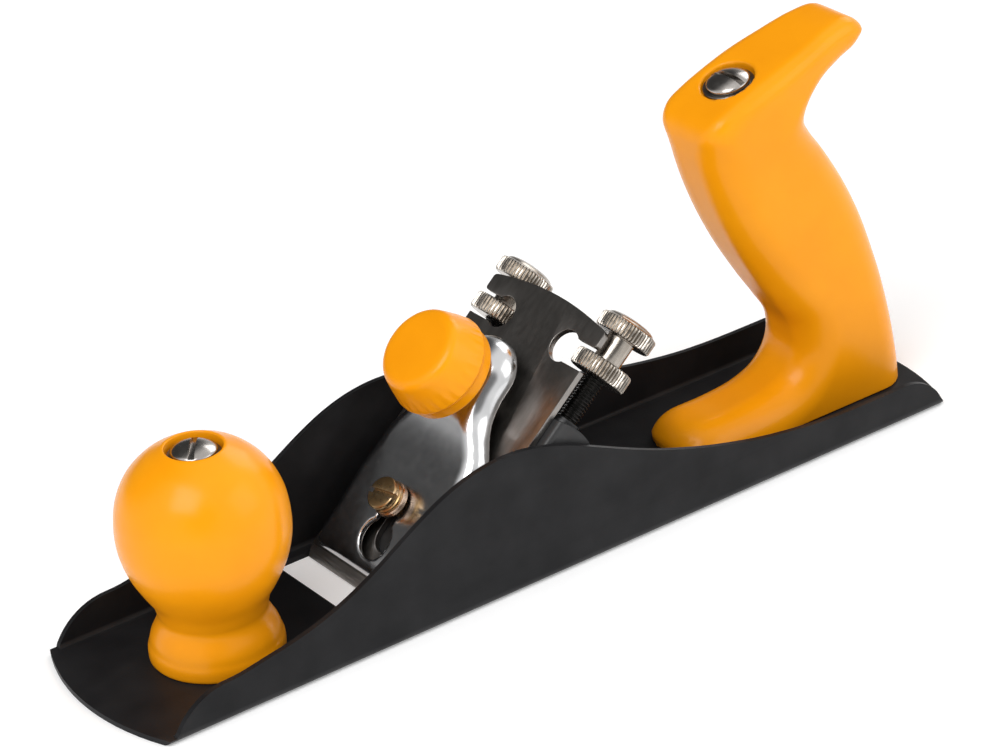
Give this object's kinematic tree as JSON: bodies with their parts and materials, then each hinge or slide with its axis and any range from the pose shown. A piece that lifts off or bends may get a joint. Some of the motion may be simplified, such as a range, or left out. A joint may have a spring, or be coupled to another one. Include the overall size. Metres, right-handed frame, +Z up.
{
  "type": "hand plane",
  "caption": "Pressed-steel smoothing plane: low channel sole, steep iron under a chrome lever cap, knurled depth nuts, ball front knob and upright rear handle.",
  "frame": {"origin": "centre of the sole's underside", "axes": "+X from the toe to the heel, +Z up from the sole, +Y to the left when looking from the toe to the heel, so the side wall nearer in the picture is the -Y one"},
  "size_m": [0.235, 0.0534, 0.1007],
  "materials": {
    "black_channel": "satin black powder coat",
    "black_frog": "satin black powder coat",
    "rivet_steel": "plain steel",
    "black_stud": "blackened steel thread",
    "nickel_nut": "nickel plate, straight knurl",
    "tool_steel": "dark polished tool steel, ground bevel",
    "chrome_cap": "bright chrome plate",
    "bush_steel": "plain steel",
    "clamp_steel": "plain steel",
    "orange_knob": "semi-gloss orange moulding",
    "zinc_screw": "yellow zinc plate",
    "washer_steel": "plain steel",
    "weld_nut_steel": "plain steel",
    "plated_screw": "nickel plate",
    "plated_washer": "nickel plate",
    "orange_handle": "semi-gloss orange moulding"
  },
  "bodies": {
    "root": {"sole_body": "black_channel", "frog": "black_frog", "frog_rivets": "rivet_steel", "adjuster_stud_right": "black_stud", "adjuster_stud_left": "black_stud", "cap_screw": "zinc_screw", "cap_screw_washer": "washer_steel", "cap_screw_nut": "weld_nut_steel", "front_knob": "orange_knob", "front_knob_screw": "plated_screw", "front_knob_washer": "plated_washer", "front_knob_nut": "weld_nut_steel", "rear_handle": "orange_handle", "rear_handle_screw": "plated_screw", "rear_handle_washer": "plated_washer", "rear_handle_bush": "weld_nut_steel", "handle_locating_pin": "rivet_steel"},
    "iron": {"plane_iron": "tool_steel"},
    "nut_left": {"adjuster_nut_left": "nickel_nut"},
    "nut_right": {"adjuster_nut_right": "nickel_nut"},
    "cap": {"lever_cap": "chrome_cap", "lever_cap_bush": "bush_steel"},
    "clamp": {"clamp_screw": "clamp_steel", "clamp_knob": "orange_knob"}
  },
  "joints": [
    {"name": "iron_slide", "type": "slide", "parent": "root", "child": "iron", "axis": [0.7547, 0, 0.6561], "range_m": [-0.0012, 0.003]},
    {"name": "left_nut_turn", "type": "hinge", "parent": "iron", "child": "nut_left", "pos_m": [0.01608, 0.0195, 0.04556], "axis": [0.7547, 0, 0.6561], "range_deg": [-540.5, 1350.5]},
    {"name": "right_nut_turn", "type": "hinge", "parent": "iron", "child": "nut_right", "pos_m": [0.01608, -0.0195, 0.04556], "axis": [0.7547, 0, 0.6561], "range_deg": [-540.5, 1350.5]},
    {"name": "cap_slide", "type": "slide", "parent": "root", "child": "cap", "axis": [0.7547, 0, 0.6561], "range_m": [0, 0.0094]},
    {"name": "clamp_turn", "type": "hinge", "parent": "cap", "child": "clamp", "pos_m": [-0.01452, 0, 0.04586], "axis": [-0.6561, 0, 0.7547], "range_deg": [0, 540]}
  ],
  "couplings": [
    {"joint": "left_nut_turn", "follows": "iron_slide", "rad_per_m": 7854},
    {"joint": "right_nut_turn", "follows": "iron_slide", "rad_per_m": 7854}
  ]
}
